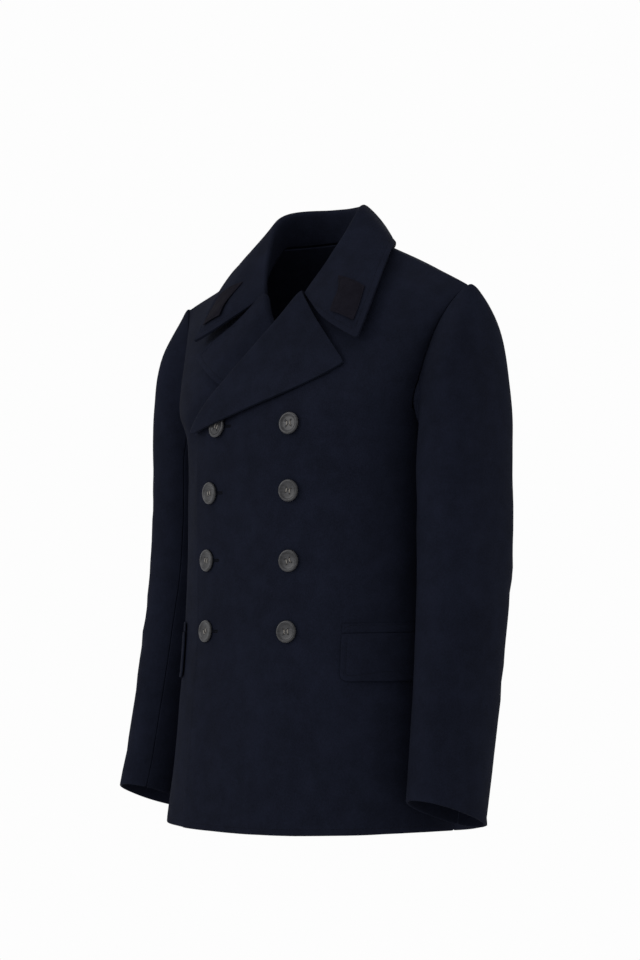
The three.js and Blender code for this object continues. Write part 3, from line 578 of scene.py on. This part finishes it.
def normals_of(mesh):
    normals = np.empty(len(mesh.vertices) * 3)
    mesh.vertex_normals.foreach_get("vector", normals)
    return normals.reshape(-1, 3)


def set_points(mesh, points):
    mesh.vertices.foreach_set("co", (points * MM).ravel())
    mesh.update()


def sewn_here(name, point):
    """Whether a sheet's border is topstitched at a point, in millimetres."""
    x, y, z = point
    kind, side = kind_of(name), side_of(name)
    if kind == "collar":
        across = x / NECK_OVAL["half_width"]
        along = (y + NECK_OVAL["ahead"]) / NECK_OVAL["half_depth"]
        return math.hypot(across, along) > NECK_OVAL["share"]
    if kind == "lapel":
        under = abs(x) < UNDER_COLLAR["half_width"] and z > UNDER_COLLAR["above"]
        line = [(side * a, b, c) for a, b, c in ROLL_LINE]
        return distance_to_path(np.array([point]), line)[0][0] > ROLL_CLEAR and not under
    if kind == "flap":
        return z < FLAP_SEWN_BELOW
    if kind == "welt":
        return z > WELT_SEWN_ABOVE
    if kind == "front":
        edge = side * x < FRONT_EDGE_SEWN["beyond"] and z < FRONT_EDGE_SEWN["below"]
        return edge or z < HEM_SEWN_BELOW
    return True


def stitch_lines(name, loop, inset):
    """Lines inset from the sewn parts of a sheet's border, in millimetres, each point with the
    sheet's normal."""
    rim = np.array([tuple(p / MM) for p, _, _ in loop])
    closed = np.vstack([rim, rim[:1]])
    starts, places, normals = [], [], []
    for (here, into, normal), (after, next_into, next_normal) in zip(loop, loop[1:] + loop[:1]):
        count = max(1, round((after - here).length / BORDER_STEP))
        for i in range(count):
            share = i / count
            start = here.lerp(after, share) / MM
            starts.append(start)
            places.append(tuple(start + into.lerp(next_into, share).normalized() * inset))
            normals.append(normal.lerp(next_normal, share).normalized())
    clear = distance_to_path(np.array(places), closed)[0] > KEPT_INSET * inset
    lines, line = [], []
    for start, place, normal, free in zip(starts, places, normals, clear):
        if sewn_here(name, start) and free:
            line.append((np.array(place), np.array(normal)))
        elif not sewn_here(name, start):
            lines.append(line)
            line = []
    lines.append(line)
    if len(lines) > 1 and sewn_here(name, starts[0]) and sewn_here(name, starts[-1]):
        lines[0] = lines.pop() + lines[0]
    return [evened(line) for line in lines if len(line) > 4]


def evened(line):
    """A line's points each drawn to the middle of their neighbours, its ends kept."""
    places = np.array([place for place, _ in line])
    for _ in range(EVENING_ROUNDS):
        places[1:-1] = (places[:-2] + places[1:-1] * 2 + places[2:]) / 4
    return [(place, normal) for place, (_, normal) in zip(places, line)]


@functools.cache
def drape():
    """The coat's drape, worked out once."""
    return Drape(bpy.context.scene.pea_coat.crease_share)


def new_object(name, mesh, finish):
    """A smooth-shaded object of a mesh, in a finish."""
    for polygon in mesh.polygons:
        polygon.use_smooth = True
    mesh.materials.clear()
    mesh.materials.append(material(finish))
    obj = bpy.data.objects.new(name, mesh)
    bpy.context.scene.collection.objects.link(obj)
    return obj


def applied(obj):
    """Applies an object's modifiers to its mesh."""
    graph = bpy.context.evaluated_depsgraph_get()
    mesh = bpy.data.meshes.new_from_object(obj.evaluated_get(graph))
    obj.modifiers.clear()
    obj.data = mesh
    return obj


def round_rim(bm, thick, size):
    """Bevels the edges of a wall's rim, and the rim's own corners, by a little, so that dividing
    the mesh keeps their place."""
    posts, rim_faces = rim_of(bm, thick)
    edges = []
    for edge in bm.edges:
        rims = sum(face in rim_faces for face in edge.link_faces)
        turned = len(edge.link_faces) == 2 and edge.calc_face_angle(0) > CORNER_ANGLE
        if rims == 1 or (edge in posts and turned):
            edges.append(edge)
    bmesh.ops.bevel(
        bm, geom=edges, offset=size, offset_type="OFFSET", segments=1, profile=0.5,
        affect="EDGES", clamp_overlap=True, material=-1,
    )


def dressed_wall(name, finish):
    """A CAD wall's own form with soft rims, creases and topstitched grooves, in its place."""
    coat = bpy.context.scene.pea_coat
    facts, wall = PIECES[name], WALLS[kind_of(name)]
    bm = merged_copy(name)
    looks = Vector(wall["looks"])
    looks.x *= side_of(name)
    sheet = outer_sheet(bm, rim_of(bm, wall["thick"])[1], looks)
    loop = border_loop(sheet)
    rounding = coat.seam_round if is_panel(name) else coat.edge_round
    round_rim(bm, wall["thick"], min(rounding, wall["thick"] * MM * 0.3))
    mesh = bpy.data.meshes.new(name)
    bm.to_mesh(mesh)
    bm.free()
    obj = new_object(name + "_cloth", mesh, finish)
    divided = obj.modifiers.new("divided", "SUBSURF")
    divided.levels = divided.render_levels = wall["levels"]
    applied(obj)
    points = drape().moved(points_of(obj.data), region_of(name))
    sewing = TOPSTITCHING.get(kind_of(name))
    lines = []
    if sewing:
        for line in stitch_lines(name, loop, sewing["inset"]):
            places = drape().moved(np.array([place for place, _ in line]), region_of(name))
            lines.append((places, np.array([normal for _, normal in line])))
    set_points(obj.data, points)
    if sewing and sewing["groove"]:
        normals = normals_of(obj.data)
        for places, _ in lines:
            near = distance_to_path(points, places)[0]
            depth = sewing["groove"] * np.exp(-((near / GROOVE_WIDTH) ** 2))
            points -= depth[:, None] * normals
        set_points(obj.data, points)
    for polygon in obj.data.polygons:
        polygon.use_smooth = True
    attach(obj, BODY)
    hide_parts(name)
    if lines:
        topstitch(name, obj, lines)
    return obj


def resampled(places, pitch):
    """Points evenly spaced along a line, with the direction of the line at each."""
    steps = np.linalg.norm(np.diff(places, axis=0), axis=1)
    reach = np.concatenate([[0], np.cumsum(steps)])
    spots = np.arange(pitch / 2, reach[-1], pitch)
    line = np.stack([np.interp(spots, reach, places[:, axis]) for axis in range(3)], axis=1)
    ahead = np.stack([np.interp(spots + 0.5, reach, places[:, axis]) for axis in range(3)], axis=1)
    back = np.stack([np.interp(spots - 0.5, reach, places[:, axis]) for axis in range(3)], axis=1)
    return line, ahead - back


# A round mesh's poles turned to the stitch's ends
STITCH_POLES = Matrix.Rotation(math.pi / 2, 4, "Y")
# A stitch's length, width and height for the thread over a button's holes and a buttonhole's edge,
# and how far it is lifted before it is laid on the cloth
HOLE_STRAND = Vector((5.4, 0.5, 0.75)) * MM
BUTTONHOLE_STITCH = Vector((2.2, 0.45, 0.5)) * MM
STITCH_LIFT = 2 * MM


def add_stitch(bm, place, along, normal, size):
    """One stitch, a small rounded length of thread lying on the cloth."""
    along = (along - normal * along.dot(normal)).normalized()
    frame_of = Matrix((along, normal.cross(along), normal)).transposed().to_4x4()
    bmesh.ops.create_uvsphere(
        bm, u_segments=6, v_segments=4, radius=0.5,
        matrix=Matrix.Translation(place) @ frame_of @ Matrix.Diagonal((*size, 1)) @ STITCH_POLES,
    )


def sewn_object(name, bm, finish):
    """A joined mesh of stitches as a piece of its own."""
    mesh = bpy.data.meshes.new(name)
    bm.to_mesh(mesh)
    bm.free()
    obj = new_object(name, mesh, finish)
    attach(obj, BODY)
    return obj


def tree_of(mesh):
    """A tree of a finished mesh's faces, for finding the nearest point on them."""
    return BVHTree.FromPolygons(
        [v.co for v in mesh.vertices], [tuple(p.vertices) for p in mesh.polygons]
    )


def topstitch(name, cloth, lines):
    """Rows of stitches along lines near a finished piece's outer side."""
    coat = bpy.context.scene.pea_coat
    surface = tree_of(cloth.data)
    bm = bmesh.new()
    size = Vector((coat.stitch_length, coat.stitch_width, coat.stitch_width * 0.8))
    for places, normals in lines:
        spots, ways = resampled(places, (coat.stitch_length + coat.stitch_gap) / MM)
        for spot, way in zip(spots, ways):
            nearest = np.argmin(np.linalg.norm(places - spot, axis=1))
            lifted = Vector(spot * MM) + Vector(normals[nearest]) * STITCH_LIFT
            place, normal, _, _ = surface.find_nearest(lifted)
            add_stitch(bm, place, Vector(way), normal, size)
    return sewn_object(name + "_topstitching", bm, "sewing thread")


# A button's section from the middle of its back round to the middle of its face, as radius and
# height, then its holes
BUTTON_SECTION = [
    (0, 0), (12, 0), (13.5, 0.7), (14, 1.9), (13.8, 3.0), (13.0, 3.8), (12.0, 4.1), (11.0, 3.9),
    (10.3, 3.3), (9.6, 2.95), (7.5, 2.75), (4, 2.6), (0, 2.55),
]
BUTTON_STEPS = 64
HOLE_RADIUS = 1.15
HOLE_OFFSET = 2.3
THREAD_HEIGHT = 2.9
STRAND_PITCH = 0.42
# The thread down in a hole: a cone from the face to the cloth
HOLE_THREAD = {"middle": 1.3, "depth": 2.7, "below": 0.75, "above": 0.6}
# A buttonhole's stitches along its lips, and round its far end
LIP_PITCH = 0.5
LIP_OFFSET = 1.15
END_RADIUS = 1.3
END_STITCHES = 9


def turned_button():
    """One button at the origin, its back down, with its four holes cut."""
    bm = bmesh.new()
    verts = [bm.verts.new((radius * MM, 0, height * MM)) for radius, height in BUTTON_SECTION]
    edges = [bm.edges.new(pair) for pair in zip(verts[:-1], verts[1:])]
    bmesh.ops.spin(
        bm, geom=verts + edges, cent=(0, 0, 0), axis=(0, 0, 1), angle=math.tau,
        steps=BUTTON_STEPS, use_merge=True,
    )
    bmesh.ops.remove_doubles(bm, verts=bm.verts, dist=SAME_POINT)
    bmesh.ops.recalc_face_normals(bm, faces=bm.faces)
    mesh = bpy.data.meshes.new("button")
    bm.to_mesh(mesh)
    bm.free()
    drills = bmesh.new()
    for x in (-1, 1):
        for y in (-1, 1):
            place = Matrix.Translation((x * HOLE_OFFSET * MM, y * HOLE_OFFSET * MM, 2 * MM))
            bmesh.ops.create_cone(
                drills, cap_ends=True, segments=20, radius1=HOLE_RADIUS * MM,
                radius2=HOLE_RADIUS * MM, depth=10 * MM, matrix=place,
            )
    drill_mesh = bpy.data.meshes.new("drills")
    drills.to_mesh(drill_mesh)
    drills.free()
    button = new_object("button", mesh, "polished horn")
    drill = new_object("drills", drill_mesh, "polished horn")
    cut = button.modifiers.new("holes", "BOOLEAN")
    cut.object = drill
    cut.operation = "DIFFERENCE"
    cut.solver = "EXACT"
    applied(button)
    mesh = button.data
    bpy.data.objects.remove(button)
    bpy.data.objects.remove(drill)
    return mesh


def seat_of(node):
    """Where a button's back lies and which way its face looks, from its CAD node."""
    bm = merged_copy(node)
    points = np.array([tuple(v.co) for v in bm.verts])
    bm.free()
    middle = points.mean(axis=0)
    axis = np.linalg.eigh(np.cov((points - middle).T))[1][:, 0]
    if axis[1] > 0:
        axis = -axis
    low = ((points - middle) @ axis).min()
    seat = middle + low * axis
    shifted = drape().moved(seat[None] / MM, "torso")[0] * MM
    return Vector(shifted), Vector(axis)


def button_place(node, turn):
    """The matrix that sets a button from the origin on its seat."""
    seat, axis = seat_of(node)
    across = (Vector((1, 0, 0)) - axis * axis.x).normalized()
    upright = Matrix((across, axis.cross(across), axis)).transposed().to_4x4()
    return Matrix.Translation(seat) @ upright @ Matrix.Rotation(math.radians(turn), 4, "Z")


def add_button_thread(bm, place):
    """Three strands over each pair of holes, and the thread down in the holes."""
    out = (place.to_3x3() @ Vector((0, 0, 1))).normalized()
    for x in (-1, 1):
        for strand in (-1, 0, 1):
            beside = x * HOLE_OFFSET + strand * STRAND_PITCH
            spot = place @ Vector((beside * MM, 0, THREAD_HEIGHT * MM))
            along = place.to_3x3() @ Vector((0, 1, 0))
            add_stitch(bm, spot, along, out, HOLE_STRAND)
        for y in (-1, 1):
            middle = Vector((x * HOLE_OFFSET, y * HOLE_OFFSET, HOLE_THREAD["middle"])) * MM
            bmesh.ops.create_cone(
                bm, cap_ends=True, segments=8, radius1=HOLE_THREAD["below"] * MM,
                radius2=HOLE_THREAD["above"] * MM, depth=HOLE_THREAD["depth"] * MM,
                matrix=place @ Matrix.Translation(middle),
            )


def add_buttonhole(bm, surface, start, way, reach):
    """A worked buttonhole: close stitches over both lips of a slit and round its far end."""
    normal_at = surface.find_nearest(start)[1]
    across = normal_at.cross(way).normalized()
    lift = normal_at * STITCH_LIFT
    for i in range(int(reach / (LIP_PITCH * MM))):
        for lip in (-1, 1):
            near = start + way * (i * LIP_PITCH * MM) + across * (lip * LIP_OFFSET * MM) + lift
            place, normal, _, _ = surface.find_nearest(near)
            add_stitch(bm, place, across, normal, BUTTONHOLE_STITCH)
    end = start + way * reach
    for step in range(END_STITCHES):
        turn = math.pi * (step / (END_STITCHES - 1) - 0.5)
        ray = way * math.cos(turn) + across * math.sin(turn)
        place, normal, _, _ = surface.find_nearest(end + ray * END_RADIUS * MM + lift)
        add_stitch(bm, place, ray, normal, BUTTONHOLE_STITCH)


class PEA_COAT_OT_panels(bpy.types.Operator):
    """Cuts the fronts, the back and the sleeves from melton, with their soft creases"""

    bl_idname = "pea_coat.panels"
    bl_label = "Panels and Sleeves"

    def execute(self, context):
        for name in PIECES:
            if is_panel(name):
                dressed_wall(name, "melton wool")
        return {"FINISHED"}


class PEA_COAT_OT_collar(bpy.types.Operator):
    """Makes the collar with its two patches, and both lapels"""

    bl_idname = "pea_coat.collar"
    bl_label = "Collar and Lapels"

    def execute(self, context):
        for name in ("collar", "left_lapel", "right_lapel"):
            dressed_wall(name, "melton wool")
        for name in ("left_collar_patch", "right_collar_patch"):
            dressed_wall(name, "brushed patch wool")
        return {"FINISHED"}


class PEA_COAT_OT_pockets(bpy.types.Operator):
    """Makes the hip pockets' flaps and welts"""

    bl_idname = "pea_coat.pockets"
    bl_label = "Pocket Flaps and Welts"

    def execute(self, context):
        for side in ("left", "right"):
            dressed_wall(side + "_pocket_flap", "melton wool")
            dressed_wall(side + "_pocket_welt", "melton wool")
        return {"FINISHED"}


class PEA_COAT_OT_buttons(bpy.types.Operator):
    """Turns eight horn buttons and sews them on, each a little turned"""

    bl_idname = "pea_coat.buttons"
    bl_label = "Buttons"

    def execute(self, context):
        turned = turned_button()
        thread = bmesh.new()
        for side, turns in BUTTON_TURNS.items():
            for row, turn in enumerate(turns, start=1):
                node = f"{side}_button_{row}"
                place = button_place(node, turn)
                mesh = turned.copy()
                mesh.transform(place)
                button = new_object(node + "_horn", mesh, "polished horn")
                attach(button, BODY)
                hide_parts(node)
                add_button_thread(thread, place)
        sewn_object("button_thread", thread, "button thread")
        return {"FINISHED"}


class PEA_COAT_OT_buttonholes(bpy.types.Operator):
    """Works the buttonholes of the left front, beside the buttons that fasten through it"""

    bl_idname = "pea_coat.buttonholes"
    bl_label = "Buttonholes"

    def execute(self, context):
        surface = tree_of(bpy.data.objects["left_front_cloth"].data)
        bm = bmesh.new()
        for row in range(1, len(BUTTON_TURNS[BUTTONHOLE_SIDE]) + 1):
            seat, axis = seat_of(f"{BUTTONHOLE_SIDE}_button_{row}")
            way = (Vector((1, 0, 0)) - axis * axis.x).normalized()
            start = seat + way * BUTTONHOLE_START * MM
            add_buttonhole(bm, surface, start, way, BUTTONHOLE_REACH * MM)
        sewn_object("buttonholes", bm, "sewing thread")
        return {"FINISHED"}


# The photograph's view: how far the camera is turned round the coat, its height, its distance,
# its step aside and its tilt up
CAMERA = {"azimuth": 43.5, "height": -0.445, "distance": 4.0, "aside": -0.0077, "lens": 117.2}
CAMERA_TILT = math.atan(120 / 3125)
SENSOR = 36.0
FLOOR_HEIGHT = -1.52
FLOOR_SIZE = 5.0
FLOOR_TONES = ("#ececec", "#f2f2f2")
BACKGROUND = "#fdfdfd"
# Soft lights: how far to the right of the camera's line, towards it and up, and how wide
LIGHTS = {
    "key": {"right": -2.6, "near": 1.0, "up": 0.9, "size": 1.8, "watts": 26},
    "fill": {"right": 2.2, "near": 2.4, "up": 0.6, "size": 2.4, "watts": 6},
    "top": {"right": 0.2, "near": 0.2, "up": 2.4, "size": 1.8, "watts": 6},
}
LIGHTS_AIM = Vector((0, 0, -0.35))


def view_axes():
    """The directions to the camera's right and towards the camera, level."""
    turn = math.radians(CAMERA["azimuth"])
    right = Vector((math.cos(turn), math.sin(turn), 0))
    return right, Vector((math.sin(turn), -math.cos(turn), 0))


class PEA_COAT_OT_stage(bpy.types.Operator):
    """Sets a plain pale floor, soft lights and the camera at the photograph's angle"""

    bl_idname = "pea_coat.stage"
    bl_label = "Stage"

    def execute(self, context):
        scene = context.scene
        scene.view_settings.view_transform = "Standard"
        right, near = view_axes()
        camera = bpy.data.cameras.new("camera")
        camera.sensor_fit = "VERTICAL"
        camera.sensor_height = SENSOR
        camera.lens = CAMERA["lens"]
        eye = bpy.data.objects.new("camera", camera)
        look = -near * math.cos(CAMERA_TILT) + Vector((0, 0, math.sin(CAMERA_TILT)))
        eye.location = near * CAMERA["distance"] + right * CAMERA["aside"]
        eye.location.z = CAMERA["height"]
        eye.rotation_euler = look.to_track_quat("-Z", "Y").to_euler()
        scene.collection.objects.link(eye)
        scene.camera = eye
        for name, row in LIGHTS.items():
            light = bpy.data.lights.new(name, "AREA")
            light.shape = "DISK"
            light.size = row["size"]
            light.energy = row["watts"]
            lamp = bpy.data.objects.new(name + "_light", light)
            lamp.location = LIGHTS_AIM + right * row["right"] + near * row["near"]
            lamp.location.z += row["up"]
            lamp.rotation_euler = (LIGHTS_AIM - lamp.location).to_track_quat("-Z", "Y").to_euler()
            scene.collection.objects.link(lamp)
        world = bpy.data.worlds.new("pale studio")
        world.use_nodes = True
        world.node_tree.nodes.clear()
        air = add_node(
            world.node_tree, "ShaderNodeBackground", {"Color": linear(BACKGROUND), "Strength": 1.0}
        )
        add_node(world.node_tree, "ShaderNodeOutputWorld", {"Surface": air.outputs[0]})
        scene.world = world
        bm = bmesh.new()
        bmesh.ops.create_circle(
            bm, cap_ends=True, segments=96, radius=FLOOR_SIZE / 2,
            matrix=Matrix.Translation((0, 0, FLOOR_HEIGHT)),
        )
        mesh = bpy.data.meshes.new("floor")
        bm.to_mesh(mesh)
        bm.free()
        floor = bpy.data.objects.new("floor", mesh)
        paper, tree = new_material("pale floor paper")
        place = add_node(tree, "ShaderNodeTexCoord").outputs["Object"]
        tone = blended(tree, noise_at(tree, place, 0.3, 2), *map(linear, FLOOR_TONES))
        shader = add_node(
            tree, "ShaderNodeBsdfPrincipled", {"Base Color": tone, "Roughness": 0.95}
        )
        add_node(tree, "ShaderNodeOutputMaterial", {"Surface": shader.outputs[0]})
        mesh.materials.append(paper)
        scene.collection.objects.link(floor)
        return {"FINISHED"}


STEPS = (
    PEA_COAT_OT_panels,
    PEA_COAT_OT_collar,
    PEA_COAT_OT_pockets,
    PEA_COAT_OT_buttons,
    PEA_COAT_OT_buttonholes,
    PEA_COAT_OT_stage,
)


class PEA_COAT_PT_panel(bpy.types.Panel):
    """The coat's sizes, colours and steps"""

    bl_idname = "PEA_COAT_PT_panel"
    bl_label = "Pea Coat"
    bl_space_type = "VIEW_3D"
    bl_region_type = "UI"
    bl_category = "Pea Coat"

    def draw(self, context):
        coat = context.scene.pea_coat
        for name in PeaCoatSettings.__annotations__:
            self.layout.prop(coat, name)
        for step in STEPS:
            self.layout.operator(step.bl_idname)


CLASSES = (PeaCoatSettings, *STEPS, PEA_COAT_PT_panel)


def register():
    for each in CLASSES:
        bpy.utils.register_class(each)
    bpy.types.Scene.pea_coat = PointerProperty(type=PeaCoatSettings)


def unregister():
    del bpy.types.Scene.pea_coat
    for each in reversed(CLASSES):
        bpy.utils.unregister_class(each)


def main():
    register()
    for step in STEPS:
        group, action = step.bl_idname.split(".")
        getattr(getattr(bpy.ops, group), action)()


if __name__ == "__main__":
    main()
